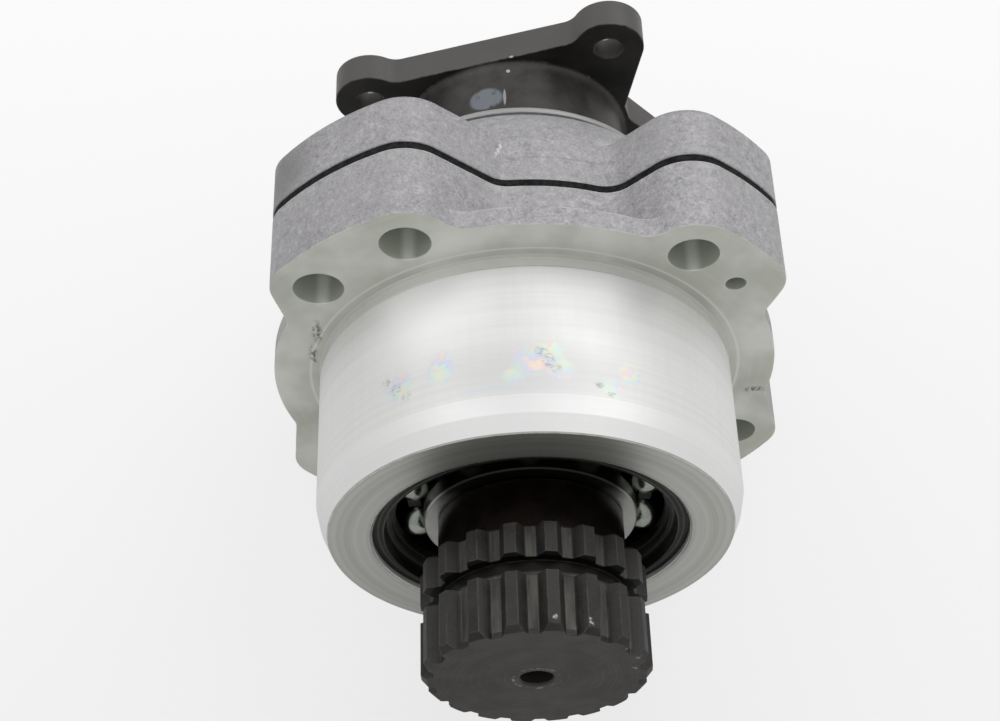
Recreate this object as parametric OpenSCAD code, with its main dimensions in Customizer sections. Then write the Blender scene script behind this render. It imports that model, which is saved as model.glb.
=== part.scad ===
// Power take off unit: a flanged housing with a piloting nose, a splined input shaft on two
// ball bearings, and a four-eared output flange behind the rear cover.
// Local heights run along the shaft, out of the nose, from the mounting face of the flange.

/* [Nose] */
// Outside diameter of the nose that pilots in the gearbox
nose_d = 115; // [112:0.5:130]
// Length of the nose in front of the mounting face
nose_len = 51.8; // [51:0.2:66]
// Length of the lead-in taper at the nose's tip
nose_taper_len = 9.4; // [4:0.2:14]
// How much the taper takes off the radius
nose_taper = 3.2; // [1:0.1:5]
// Depth of the relief turned at the nose's foot
relief_depth = 1.3; // [0.4:0.1:2]
// Length of that relief
relief_len = 2.6; // [1:0.1:5]

/* [Flange and case] */
// Diameter of the round mounting flange
flange_d = 140.5; // [138:0.5:160]
// Thickness of the mounting flange between the ears
flange_t = 5.5; // [4:0.5:9]
// Radius of the hollow between the flange and each ear
flange_corner_r = 6.5; // [3:0.5:8]
// Depth of the housing behind the mounting face
case_depth = 20.8; // [16:0.2:30]
// Outside radius of the cast case between the ears
case_r = 59.5; // [58:0.25:64]
// Radius of the rounded corner around each ear's hole
boss_r = 12.8; // [11:0.1:15]
// Radius of the hollow in each corner between an ear and the case
corner_r = 8; // [3:0.5:12]

/* [Bolts and screws] */
// Diameter of the circle of gearbox bolts
bolt_circle_d = 140.5; // [139:0.5:160]
// Diameter of the gearbox bolt holes
bolt_hole_d = 13.5; // [10:0.5:15]
// Diameter of the circle of cover screws
screw_circle_d = 139.4; // [138:0.2:158]
// Thread diameter of the cover screws
screw_d = 5.6; // [4:0.2:8]
// Length of the cover screws under the head
screw_len = 34; // [26:1:38]
// Diameter of the cover screws' heads
screw_head_d = 10; // [8:0.5:13]

/* [Cover] */
// Thickness of the gasket
gasket_t = 2.4; // [0.5:0.1:3]
// Thickness of the cover's ears
cover_ear_t = 14.9; // [10:0.1:18]
// Length of the cover behind the gasket
cover_len = 39.3; // [38:0.1:50]
// Outside radius of the machined mouth of the cover
mouth_r = 43.25; // [42.8:0.05:50]

/* [Front bearing] */
// Bore of the front bearing
front_bore = 45; // [40:1:46]
// Outside diameter of the front bearing
front_od = 85; // [84:0.5:87]
// Width of the front bearing
front_w = 19; // [16:0.5:21]
// Ball diameter of the front bearing
front_ball_d = 12.7; // [11:0.1:13]
// Number of balls in the front bearing
front_balls = 10; // [6:1:10]
// How far the front bearing sits behind the tip of the nose
front_recess = 5; // [4.6:0.1:7]

/* [Rear bearing] */
// Bore of the rear bearing
rear_bore = 40; // [39:0.5:42]
// Outside diameter of the rear bearing
rear_od = 80; // [78:0.5:80]
// Width of the rear bearing
rear_w = 18; // [15:0.5:19]
// Ball diameter of the rear bearing
rear_ball_d = 11.9; // [10:0.1:12.5]
// Number of balls in the rear bearing
rear_balls = 9; // [6:1:9]

/* [Input spline] */
// Spline module
spline_m = 3; // [2.6:0.1:3.2]
// Number of teeth
spline_z = 18; // [16:1:18]
// Distance of the shaft's front end from the mounting face
shaft_front = 92.1; // [88:0.1:110]
// Length of the front row of teeth
front_teeth_len = 16.1; // [10:0.1:20]
// Width of the groove between the two rows
spline_groove_w = 5; // [2:0.5:8]
// Length of the rear row of teeth
rear_teeth_len = 9; // [4:0.5:12]
// Diameter of the shaft between the teeth and the bearing
neck_d = 49.8; // [48:0.1:52]
// Diameter of the centre hole
centre_hole_d = 8.6; // [4:0.1:12]

/* [Output flange] */
// Thickness of the output flange
out_t = 9.2; // [7:0.1:12]
// Distance from the cover's mouth to the front face of the output flange
out_reach = 25.7; // [24.5:0.1:32]
// Diameter of the circle of its four holes
out_circle_d = 93.9; // [88:0.1:110]
// Angle from the long side's middle to a hole
out_half_angle = 51.6; // [48:0.1:56]
// How far the flange is turned at rest
out_turn = 16.4; // [-45:0.1:45]
// Diameter of its holes
out_hole_d = 8.4; // [6:0.1:11]
// Radius of its ears
out_ear_r = 10.35; // [8:0.05:12]
// Distance of its long sides from the shaft's axis
out_side = 34.5; // [34:0.1:38]
// Distance of its waists from the shaft's axis
out_waist = 35.6; // [35.2:0.1:42]
// Diameter of its drum
drum_d = 66.4; // [64:0.2:70]
// Diameter of its hub where the oil seal runs
seal_d = 55; // [52:1:58]
// Diameter of the pilot recess in its rear face
pilot_d = 60; // [56:1:62]
// Depth of that recess
pilot_depth = 2.5; // [1:0.5:4]

/* [Hidden] */
$fn = 96;
far = 200;
cut = 1;
// Arcs that blend into each other cross by this much
nick = 0.02;

// Angles are counted from the right, anticlockwise as the nose is seen
bolt_angles = [116.3, 141, 52.2, -27.7, -127.7];
screw_angles = [37.5, -42.5, -142.5];
// Each ear: angle of its first and last corner, and how far each flank leans away from the radius
ears = [
    [116.3, 141, 23.4, 37.5],
    [37.5, 52.2, 33, 8],
    [-42.5, -27.7, 30, 47],
    [-142.5, -127.7, 46.5, 30]
];

// Involute splines with a flank angle of 30 degrees and the profile shift of such splines
flank_angle = 30;
shift_share = 0.45;
tip_share = 1.9;
root_share = 0.15;
function spline_tip_r(m, z) = m * (z + tip_share) / 2 - 0.05 * m;
function spline_root_r(m, z) = m * (z - root_share * 2) / 2;

nose_r = nose_d / 2;
flange_r = flange_d / 2;
bolt_circle_r = bolt_circle_d / 2;
screw_circle_r = screw_circle_d / 2;
ear_r = bolt_circle_r + boss_r - nick;
gasket_front = -case_depth;
cover_front = gasket_front - gasket_t;
ear_back = cover_front - cover_ear_t;
cover_back = cover_front - cover_len;

front_back = nose_len - front_recess - front_w;
front_face = nose_len - front_recess;
front_pitch_r = (front_bore + front_od) / 4;
circlip_t = 3;
circlip_depth = 1.75;
circlip_gap = 0.1;
shoulder_h = 4;
shoulder_len = 4;

seal_w = 8;
seal_rib = 2.5;
rear_back = cover_back + seal_w + seal_rib;
rear_face = rear_back + rear_w;
rear_pitch_r = (rear_bore + rear_od) / 4;
cavity_r = 46;

ball_gap = 0.03;
race_ratio = 1.04;
land_share = 0.2;
bearing_chamfer = 1;
shield_step = 1;
shield_depth = 2;
cage_gap = 0.35;

out_front = cover_back - out_reach;
out_back = out_front - out_t;
drum_front = cover_back - 2;
hub_end = out_back + 22.5;
washer_t = 4;
nut_t = 13;
nut_af = 36;
stud_d = 24;
hub_bore_m = 2;
hub_teeth = 18;
hub_spline_r = spline_tip_r(hub_bore_m, hub_teeth);
well_r = 26.5;
o_ring_at = 23.2;
o_ring_d = 1.8;
o_ring_groove = 2.2;

// Points and directions in the plane across the shaft
function polar(r, a) = [r * cos(a), r * sin(a)];

function involute(a) = tan(a) - a * PI / 180;
function half_tooth(m, z, r, gap) =
    let (
        pitch_r = m * z / 2,
        base_r = pitch_r * cos(flank_angle),
        half_at_pitch = (m * PI / 2 + 2 * shift_share * m * tan(flank_angle)) / (2 * pitch_r)
    )
    (half_at_pitch + involute(flank_angle) - involute(acos(base_r / r)) + gap / r) * 180 / PI;
function spline_outline(m, z, gap = 0) =
    let (
        root_r = spline_root_r(m, z) + gap,
        tip_r = spline_tip_r(m, z) + gap,
        steps = [for (k = [0:3]) root_r + (tip_r - root_r) * k / 3]
    )
    [for (i = [0:z - 1]) let (a = 360 * i / z) each concat(
        [for (r = steps) polar(r, a - half_tooth(m, z, r, gap))],
        [for (k = [3:-1:0]) polar(steps[k], a + half_tooth(m, z, steps[k], gap))]
    )];

// The row frame has the shaft along Y with the nose towards -Y, and Z up
module along_shaft() {
    rotate([90, 0, 0])
        children();
}

module tube(r_out, r_in, from, to) {
    translate([0, 0, from])
        difference() {
            cylinder(h = to - from, r = r_out);
            translate([0, 0, -cut])
                cylinder(h = to - from + 2 * cut, r = r_in);
        }
}

module disc(r, from, to) {
    translate([0, 0, from])
        cylinder(h = to - from, r = r);
}

module at_each(angles, r) {
    for (a = angles)
        translate(concat(polar(r, a), [0]))
            rotate([0, 0, a])
                children();
}

// One flank of an ear: a tangent from the corner's round to the body, with a filled hollow.
// Gives the corner, both ends of the straight, the hollow's centre, a point in the body, and the normal
function flank_points(corner_angle, lean, side, trim, body_r, hollow_r) =
    let (
        steepest = asin((body_r - 1 - boss_r + trim) / bolt_circle_r),
        heading = corner_angle + 180 + side * min(lean, steepest),
        normal = heading + side * 90,
        corner = polar(bolt_circle_r, corner_angle),
        touch = corner + polar(boss_r - trim - nick, normal),
        off_axis = touch * polar(1, normal),
        reach = sqrt(pow(body_r + hollow_r, 2) - pow(off_axis + hollow_r, 2)),
        centre = polar(off_axis + hollow_r, normal) - polar(reach, heading),
        on_line = centre - polar(hollow_r, normal),
        in_body = centre * (body_r - cut) / norm(centre)
    )
    [corner, touch, on_line, centre, in_body, normal];

module flank(points, side, hollow_r) {
    outline = [[0, 0], points[0], points[1], points[2], points[3], points[4]];
    difference() {
        polygon(side < 0 ? outline : [for (k = [5:-1:0]) outline[k]]);
        translate(points[3])
            circle(r = hollow_r + nick);
    }
}

module ear_sector(shape) {
    middle = (shape[0] + shape[1]) / 2;
    polygon([[0, 0], polar(far, shape[0]), polar(far, middle), polar(far, shape[1])]);
}

module ear(shape, trim, body_r, hollow_r) {
    intersection() {
        circle(r = ear_r - trim);
        ear_sector(shape);
    }
    for (a = [shape[0], shape[1]])
        translate(polar(bolt_circle_r, a))
            circle(r = boss_r - trim);
    flank(flank_points(shape[0], shape[2], 1, trim, body_r, hollow_r), 1, hollow_r);
    flank(flank_points(shape[1], shape[3], -1, trim, body_r, hollow_r), -1, hollow_r);
}

// Outline that housing, gasket and cover share
module case_outline(trim = 0, body_r = case_r, hollow_r = corner_r) {
    circle(r = body_r - trim);
    for (shape = ears)
        ear(shape, trim, body_r - trim, hollow_r + trim);
}

module bolt_holes(d, from, to) {
    at_each(bolt_angles, bolt_circle_r)
        disc(d / 2, from, to);
}

module screw_holes(d, from, to) {
    at_each(screw_angles, screw_circle_r)
        disc(d / 2, from, to);
}

module nose_profile() {
    taper_start = nose_len - nose_taper_len;
    polygon([
        [0, -cut],
        [nose_r - relief_depth, -cut],
        [nose_r - relief_depth, relief_len],
        [nose_r, relief_len + relief_depth],
        [nose_r, taper_start],
        [nose_r - nose_taper / 3, taper_start + nose_taper_len / 2],
        [nose_r - nose_taper, nose_len],
        [0, nose_len]
    ]);
}

module front_cavity_profile() {
    mouth_chamfer = 0.6;
    polygon([
        [0, front_back - shoulder_len],
        [front_od / 2 - shoulder_h, front_back - shoulder_len],
        [front_od / 2 - shoulder_h, front_back],
        [front_od / 2, front_back],
        [front_od / 2, nose_len - mouth_chamfer],
        [front_od / 2 + mouth_chamfer + cut, nose_len + cut],
        [0, nose_len + cut]
    ]);
    translate([0, front_face])
        square([front_od / 2 + circlip_depth, circlip_t + circlip_gap]);
    polygon([
        [0, gasket_front - cut],
        [cavity_r, gasket_front - cut],
        [cavity_r, front_back - shoulder_len - (cavity_r - front_od / 2 + shoulder_h)],
        [front_od / 2 - shoulder_h, front_back - shoulder_len],
        [0, front_back - shoulder_len]
    ]);
}

module front_housing() {
    color([0.66, 0.66, 0.66])
        along_shaft()
            difference() {
                union() {
                    rotate_extrude()
                        nose_profile();
                    translate([0, 0, -flange_t])
                        linear_extrude(flange_t)
                            case_outline(0, flange_r, flange_corner_r);
                    translate([0, 0, gasket_front])
                        linear_extrude(case_depth)
                            case_outline();
                }
                rotate_extrude()
                    front_cavity_profile();
                bolt_holes(bolt_hole_d, gasket_front - cut, cut);
                screw_holes(screw_d, gasket_front - cut, cut);
            }
}

module cover_gasket() {
    gasket_trim = 0.3;
    color([0.1, 0.1, 0.1])
        along_shaft()
            difference() {
                translate([0, 0, cover_front])
                    linear_extrude(gasket_t)
                        case_outline(gasket_trim);
                disc(cavity_r + 1, cover_front - cut, gasket_front + cut);
                bolt_holes(bolt_hole_d + 0.5, cover_front - cut, gasket_front + cut);
                screw_holes(screw_d + 0.8, cover_front - cut, gasket_front + cut);
            }
}

// The cover's round body: a drafted wall beside the ears, then an arc down to the groove and the lip
module cover_body_profile() {
    groove_w = 1.6;
    groove_depth = 1.05;
    lip_len = 2.1;
    lip_chamfer = 0.5;
    dome_start = [case_r - 2.8, ear_back - 0.5];
    dome_end = [mouth_r + 0.65, cover_back + lip_len + groove_w];
    dome_turn = 41;
    chord = dome_end - dome_start;
    dome_r = norm(chord) / 2 / sin(dome_turn / 2);
    centre = (dome_start + dome_end) / 2 + [chord[1], -chord[0]] / norm(chord) * dome_r * cos(dome_turn / 2);
    polygon([[0, cover_front], [case_r - 0.7, cover_front], dome_start, [0, dome_start[1]]]);
    intersection() {
        translate(centre)
            circle(r = dome_r);
        translate([0, dome_end[1]])
            square([far, dome_start[1] - dome_end[1]]);
    }
    polygon([
        [0, dome_end[1]],
        [mouth_r - groove_depth, dome_end[1]],
        [mouth_r - groove_depth, cover_back + lip_len],
        [mouth_r, cover_back + lip_len],
        [mouth_r, cover_back + lip_chamfer],
        [mouth_r - lip_chamfer, cover_back],
        [0, cover_back]
    ]);
}

module cover_cavity_profile() {
    shoulder_r = rear_od / 2 - 3.5;
    seal_chamfer = 0.5;
    polygon([
        [0, cover_front + cut],
        [cavity_r, cover_front + cut],
        [cavity_r, rear_face + 5],
        [rear_od / 2, rear_face],
        [rear_od / 2, rear_back],
        [shoulder_r, rear_back],
        [shoulder_r, rear_back - seal_rib],
        [rear_od / 2, rear_back - seal_rib],
        [rear_od / 2, cover_back + seal_chamfer],
        [rear_od / 2 + seal_chamfer + cut, cover_back - cut],
        [0, cover_back - cut]
    ]);
}

module rear_cover() {
    spot_depth = 0.8;
    spot_d = 24;
    color([0.66, 0.66, 0.67])
        along_shaft()
            difference() {
                union() {
                    translate([0, 0, ear_back])
                        linear_extrude(cover_ear_t)
                            for (shape = ears)
                                ear(shape, 0, case_r - 2.4, corner_r);
                    rotate_extrude()
                        cover_body_profile();
                }
                rotate_extrude()
                    cover_cavity_profile();
                bolt_holes(bolt_hole_d, ear_back - cut, cover_front + cut);
                screw_holes(screw_d + 0.8, ear_back - cut, cover_front + cut);
                at_each(bolt_angles, bolt_circle_r)
                    intersection() {
                        disc(spot_d / 2, ear_back - cut, ear_back + spot_depth);
                        translate([-10.5, -far / 2, ear_back - 2 * cut])
                            cube([far, far, spot_depth + 3 * cut]);
                    }
            }
}

module centre_hole_profile() {
    depth = 12;
    r = centre_hole_d / 2;
    polygon([
        [0, shaft_front + cut],
        [r + 0.5 + cut, shaft_front + cut],
        [r, shaft_front - 0.5],
        [r, shaft_front - depth],
        [0, shaft_front - depth - r * 0.6]
    ]);
}

module shaft_core_profile() {
    neck_front = shaft_front - front_teeth_len - spline_groove_w - rear_teeth_len;
    undercut = 0.2;
    polygon([
        [0, neck_front + cut],
        [neck_d / 2, neck_front + cut],
        [neck_d / 2, front_face + 0.8],
        [neck_d / 2 - 0.8, front_face],
        [front_bore / 2, front_face],
        [front_bore / 2, rear_face + 3],
        [rear_bore / 2 + 1.5, rear_face + 3],
        [rear_bore / 2 + 1.5, rear_face],
        [rear_bore / 2, rear_face],
        [rear_bore / 2, rear_back + 1],
        [hub_spline_r - undercut, rear_back],
        [0, rear_back]
    ]);
}

module shaft_stud_profile() {
    stud_chamfer = 1.5;
    end = hub_end - washer_t - nut_t - 1.5;
    polygon([
        [0, hub_end + 2 + cut],
        [stud_d / 2, hub_end + 2 + cut],
        [stud_d / 2, end + stud_chamfer],
        [stud_d / 2 - stud_chamfer, end],
        [0, end]
    ]);
}

module input_teeth() {
    tip_r = spline_tip_r(spline_m, spline_z);
    teeth_len = front_teeth_len + spline_groove_w + rear_teeth_len;
    tip_chamfer = 0.6;
    front_chamfer = 1.6;
    groove_floor_r = neck_d / 2;
    difference() {
        intersection() {
            translate([0, 0, shaft_front - teeth_len])
                rotate([0, 0, 102.4])
                    linear_extrude(teeth_len)
                        polygon(spline_outline(spline_m, spline_z));
            rotate_extrude()
                polygon([
                    [0, shaft_front - teeth_len],
                    [tip_r - tip_chamfer, shaft_front - teeth_len],
                    [tip_r, shaft_front - teeth_len + tip_chamfer],
                    [tip_r, shaft_front - front_chamfer],
                    [tip_r - front_chamfer, shaft_front],
                    [0, shaft_front]
                ]);
        }
        tube(tip_r + cut, groove_floor_r,
            shaft_front - front_teeth_len - spline_groove_w, shaft_front - front_teeth_len);
    }
}

module input_shaft() {
    color([0.24, 0.23, 0.21])
        along_shaft()
            difference() {
                union() {
                    input_teeth();
                    rotate_extrude()
                        shaft_core_profile();
                    translate([0, 0, hub_end + 2])
                        linear_extrude(rear_back - hub_end - 2 + cut)
                            polygon(spline_outline(hub_bore_m, hub_teeth));
                    rotate_extrude()
                        shaft_stud_profile();
                }
                rotate_extrude()
                    centre_hole_profile();
            }
}

// Deep-groove ball bearing rings, from the rear face at 0 to the width
module outer_ring(od, width, pitch_r, ball_r) {
    land_r = pitch_r + ball_r * (1 - 2 * land_share);
    face_r = land_r + shield_step;
    race_r = ball_r * race_ratio;
    race_centre_r = pitch_r + ball_r + ball_gap - race_r;
    rotate_extrude()
        difference() {
            polygon([
                [land_r, shield_depth],
                [face_r, shield_depth],
                [face_r, 0],
                [od / 2 - bearing_chamfer, 0],
                [od / 2, bearing_chamfer],
                [od / 2, width - bearing_chamfer],
                [od / 2 - bearing_chamfer, width],
                [face_r, width],
                [face_r, width - shield_depth],
                [land_r, width - shield_depth]
            ]);
            translate([race_centre_r, width / 2])
                circle(r = race_r);
        }
}

module inner_ring(bore, width, pitch_r, ball_r) {
    land_r = pitch_r - ball_r * (1 - 2 * land_share);
    race_r = ball_r * race_ratio;
    race_centre_r = pitch_r - ball_r - ball_gap + race_r;
    rotate_extrude()
        difference() {
            polygon([
                [bore / 2 + bearing_chamfer, 0],
                [land_r - 0.4, 0],
                [land_r, 0.4],
                [land_r, width - 0.4],
                [land_r - 0.4, width],
                [bore / 2 + bearing_chamfer, width],
                [bore / 2, width - bearing_chamfer],
                [bore / 2, bearing_chamfer]
            ]);
            translate([race_centre_r, width / 2])
                circle(r = race_r);
        }
}

module ball_set(count, phase, width, pitch_r, ball_r) {
    at_each([for (i = [0:count - 1]) phase + 360 * i / count], pitch_r)
        translate([0, 0, width / 2])
            sphere(r = ball_r);
}

// Solid cage that runs inside the pitch circle, with a round pocket for each ball
module cage(count, phase, width, pitch_r, ball_r) {
    land_r = pitch_r - ball_r * (1 - 2 * land_share);
    side_wall = 1.3;
    half_w = ball_r + side_wall;
    bar_half = ball_r * 0.7;
    ring_r = pitch_r - 1.3;
    bar_r = pitch_r + 0.6;
    difference() {
        rotate_extrude()
            polygon([
                [land_r + 0.5, width / 2 - half_w], [ring_r, width / 2 - half_w],
                [bar_r, width / 2 - bar_half], [bar_r, width / 2 + bar_half],
                [ring_r, width / 2 + half_w], [land_r + 0.5, width / 2 + half_w]
            ]);
        at_each([for (i = [0:count - 1]) phase + 360 * i / count], pitch_r)
            translate([0, 0, width / 2])
                sphere(r = ball_r + cage_gap);
    }
}

front_phase = -17;
rear_phase = 10;

module front_bearing_outer_ring() {
    color([0.3, 0.3, 0.29])
        along_shaft()
            translate([0, 0, front_back])
                outer_ring(front_od, front_w, front_pitch_r, front_ball_d / 2);
}

module front_bearing_inner_ring() {
    color([0.6, 0.6, 0.58])
        along_shaft()
            translate([0, 0, front_back])
                inner_ring(front_bore, front_w, front_pitch_r, front_ball_d / 2);
}

module front_bearing_balls() {
    color([0.75, 0.77, 0.74])
        along_shaft()
            translate([0, 0, front_back])
                ball_set(front_balls, front_phase, front_w, front_pitch_r, front_ball_d / 2);
}

module front_bearing_cage() {
    color([0.12, 0.12, 0.11])
        along_shaft()
            translate([0, 0, front_back])
                cage(front_balls, front_phase, front_w, front_pitch_r, front_ball_d / 2);
}

// Internal retaining ring, widest opposite its gap, with an eye at each end
module front_circlip() {
    ring_r = front_od / 2 + circlip_depth - 0.15;
    inner_r = 39.4;
    shift = 0.9;
    gap_half = 9;
    eye_r = 2.6;
    eye_hole_d = 2.5;
    eye_angle = 13;
    eye_at = 39.9;
    down = -90;
    color([0.2, 0.2, 0.19])
        along_shaft()
            translate([0, 0, front_face])
                rotate([0, 0, down])
                    difference() {
                        linear_extrude(circlip_t)
                            union() {
                                difference() {
                                    circle(r = ring_r);
                                    translate([shift, 0])
                                        circle(r = inner_r);
                                    polygon([[0, 0], polar(far, -gap_half), polar(far, gap_half)]);
                                }
                                for (side = [-1, 1])
                                    translate(polar(eye_at, side * eye_angle))
                                        circle(r = eye_r);
                            }
                        for (side = [-1, 1])
                            translate(polar(eye_at, side * eye_angle))
                                translate([0, 0, -cut])
                                    cylinder(h = circlip_t + 2 * cut, d = eye_hole_d);
                    }
}

module spacer_sleeve() {
    wall = 4;
    color([0.45, 0.45, 0.44])
        along_shaft()
            tube(front_bore / 2 + wall, front_bore / 2 + 0.05, rear_face + 3.5, front_back);
}

module rear_bearing_outer_ring() {
    color([0.55, 0.55, 0.54])
        along_shaft()
            translate([0, 0, rear_back])
                outer_ring(rear_od, rear_w, rear_pitch_r, rear_ball_d / 2);
}

module rear_bearing_inner_ring() {
    color([0.6, 0.6, 0.58])
        along_shaft()
            translate([0, 0, rear_back])
                inner_ring(rear_bore, rear_w, rear_pitch_r, rear_ball_d / 2);
}

module rear_bearing_balls() {
    color([0.75, 0.77, 0.74])
        along_shaft()
            translate([0, 0, rear_back])
                ball_set(rear_balls, rear_phase, rear_w, rear_pitch_r, rear_ball_d / 2);
}

module rear_bearing_cage() {
    color([0.12, 0.12, 0.11])
        along_shaft()
            translate([0, 0, rear_back])
                cage(rear_balls, rear_phase, rear_w, rear_pitch_r, rear_ball_d / 2);
}

// Oil seal between the cover's mouth and the output flange's hub
seal_inner_r = seal_d / 2 + 0.06;
module seal_case() {
    wall = 2;
    web_r = seal_d / 2 + 5;
    color([0.14, 0.14, 0.14])
        along_shaft()
            translate([0, 0, cover_back])
                rotate_extrude()
                    polygon([
                        [web_r, 0],
                        [rear_od / 2, 0],
                        [rear_od / 2, seal_w],
                        [rear_od / 2 - wall, seal_w],
                        [rear_od / 2 - wall, wall],
                        [web_r, wall]
                    ]);
}

module seal_lip() {
    web_r = seal_d / 2 + 5;
    color([0.08, 0.08, 0.08])
        along_shaft()
            translate([0, 0, cover_back])
                rotate_extrude()
                    difference() {
                        polygon([
                            [seal_inner_r, 0.2],
                            [seal_inner_r + 1.2, 1.4],
                            [web_r, 0.2],
                            [web_r, 2.4],
                            [seal_inner_r + 2.4, 3.4],
                            [seal_inner_r + 2.6, 6.8],
                            [seal_inner_r + 1, 6.8],
                            [seal_inner_r, 5.2],
                            [seal_inner_r + 1, 3.6],
                            [seal_inner_r + 1, 2]
                        ]);
                        translate([seal_inner_r + 3, 5.2])
                            circle(r = 0.9);
                    }
}

module seal_spring() {
    color([0.6, 0.6, 0.6])
        along_shaft()
            translate([0, 0, cover_back + 5.2])
                rotate_extrude()
                    translate([seal_inner_r + 3, 0])
                        circle(r = 0.85);
}

// Plan of the output flange with its long sides level
module out_outline() {
    waist_half = 3;
    ear_x = out_circle_d / 2 * sin(out_half_angle);
    ear_y = out_circle_d / 2 * cos(out_half_angle);
    blend_r = 6;
    blend_y = out_side + blend_r;
    blend_x = ear_x - sqrt(pow(out_ear_r + blend_r, 2) - pow(blend_y - ear_y, 2));
    meet_x = ear_x - (ear_x - blend_x) * out_ear_r / (out_ear_r + blend_r);
    meet_y = ear_y + (blend_y - ear_y) * out_ear_r / (out_ear_r + blend_r);
    waist_run = norm([ear_x - out_waist, ear_y - waist_half]);
    touch_angle = atan2(waist_half - ear_y, out_waist - ear_x) + acos(out_ear_r / waist_run);
    touch = [ear_x, ear_y] + polar(out_ear_r - nick, touch_angle);
    quarter = [[0, out_side], [blend_x, out_side], [blend_x, meet_y], [meet_x, meet_y],
        [ear_x, ear_y], touch, [out_waist, waist_half], [out_waist, 0], [0, 0]];
    for (x = [-1, 1], y = [-1, 1])
        translate([x * ear_x, y * ear_y])
            circle(r = out_ear_r);
    difference() {
        union()
            for (x = [0, 1], y = [0, 1])
                mirror([x, 0])
                    mirror([0, y])
                        polygon(quarter);
        for (x = [-1, 1], y = [-1, 1])
            translate([x * blend_x, y * blend_y])
                circle(r = blend_r + nick);
    }
}

module out_hub_profile() {
    collar_h = 1.5;
    collar_len = 3.3;
    collar = [for (k = [0:6]) let (a = 15 * k)
        [drum_d / 2 + collar_h * (1 - cos(a)), out_front + collar_len * (1 - sin(a))]];
    polygon(concat(
        [[0, out_back + cut], [out_side - 1, out_back + cut], [out_side - 1, out_front]],
        [for (k = [6:-1:0]) collar[k]],
        [
            [drum_d / 2, drum_front - 1],
            [drum_d / 2 - 1, drum_front],
            [seal_d / 2, drum_front],
            [seal_d / 2, rear_back - 2.5],
            [seal_d / 2 - 2.5, rear_back],
            [0, rear_back]
        ]
    ));
}

module output_flange() {
    spline_gap = 0.05;
    color([0.2, 0.19, 0.18])
        along_shaft()
            difference() {
                union() {
                    rotate_extrude()
                        out_hub_profile();
                    translate([0, 0, out_back])
                        rotate([0, 0, out_turn])
                            linear_extrude(out_t)
                                out_outline();
                }
                translate([0, 0, hub_end - cut])
                    linear_extrude(rear_back - hub_end + 2 * cut)
                        polygon(spline_outline(hub_bore_m, hub_teeth, spline_gap));
                disc(well_r, out_back - cut, hub_end);
                disc(pilot_d / 2, out_back - cut, out_back + pilot_depth);
                tube(o_ring_at + o_ring_groove / 2, o_ring_at - o_ring_groove / 2,
                    hub_end - cut, hub_end + o_ring_d);
                rotate([0, 0, out_turn])
                    at_each([for (s = [0, 180], t = [-1, 1]) 90 + s + t * out_half_angle], out_circle_d / 2)
                        disc(out_hole_d / 2, out_back - cut, out_front + cut);
            }
}

module hub_o_ring() {
    color([0.08, 0.08, 0.08])
        along_shaft()
            rotate_extrude()
                translate([o_ring_at, hub_end + o_ring_d / 2])
                    circle(d = o_ring_d);
}

module flange_washer() {
    color([0.5, 0.5, 0.48])
        along_shaft()
            tube(well_r - 0.5, stud_d / 2 + 0.3, hub_end - washer_t, hub_end);
}

module flange_nut() {
    nut_r = nut_af / 2 / cos(30);
    nut_back = hub_end - washer_t - nut_t;
    color([0.5, 0.5, 0.48])
        along_shaft()
            difference() {
                intersection() {
                    translate([0, 0, nut_back])
                        cylinder(h = nut_t, r = nut_r, $fn = 6);
                    rotate_extrude()
                        polygon([
                            [0, nut_back], [nut_af / 2, nut_back], [nut_r + 0.1, nut_back + 2],
                            [nut_r + 0.1, nut_back + nut_t - 1], [nut_r - 1.2, nut_back + nut_t],
                            [0, nut_back + nut_t]
                        ]);
                }
                disc(stud_d / 2, nut_back - cut, nut_back + nut_t + cut);
            }
}

screw_washer_t = 1.6;
screw_head_t = 6;
module cover_screws() {
    seat = ear_back - screw_washer_t;
    socket_af = 5;
    color([0.55, 0.55, 0.54])
        along_shaft()
            at_each(screw_angles, screw_circle_r)
                difference() {
                    union() {
                        disc(screw_head_d / 2, seat - screw_head_t, seat);
                        disc(screw_d / 2, seat - cut, seat + screw_len);
                    }
                    translate([0, 0, seat - screw_head_t - cut])
                        cylinder(h = 3 + cut, r = socket_af / 2 / cos(30), $fn = 6);
                }
}

module screw_washers() {
    color([0.5, 0.5, 0.49])
        along_shaft()
            at_each(screw_angles, screw_circle_r)
                tube(screw_head_d / 2 + 0.8, screw_d / 2 + 0.2, ear_back - screw_washer_t, ear_back);
}

front_housing();
cover_gasket();
rear_cover();
input_shaft();
front_bearing_outer_ring();
front_bearing_inner_ring();
front_bearing_balls();
front_bearing_cage();
front_circlip();
spacer_sleeve();
rear_bearing_outer_ring();
rear_bearing_inner_ring();
rear_bearing_balls();
rear_bearing_cage();
seal_case();
seal_lip();
seal_spring();
output_flange();
hub_o_ring();
flange_washer();
flange_nut();
cover_screws();
screw_washers();
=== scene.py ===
import math

import bpy
from mathutils import Matrix, Vector


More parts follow.
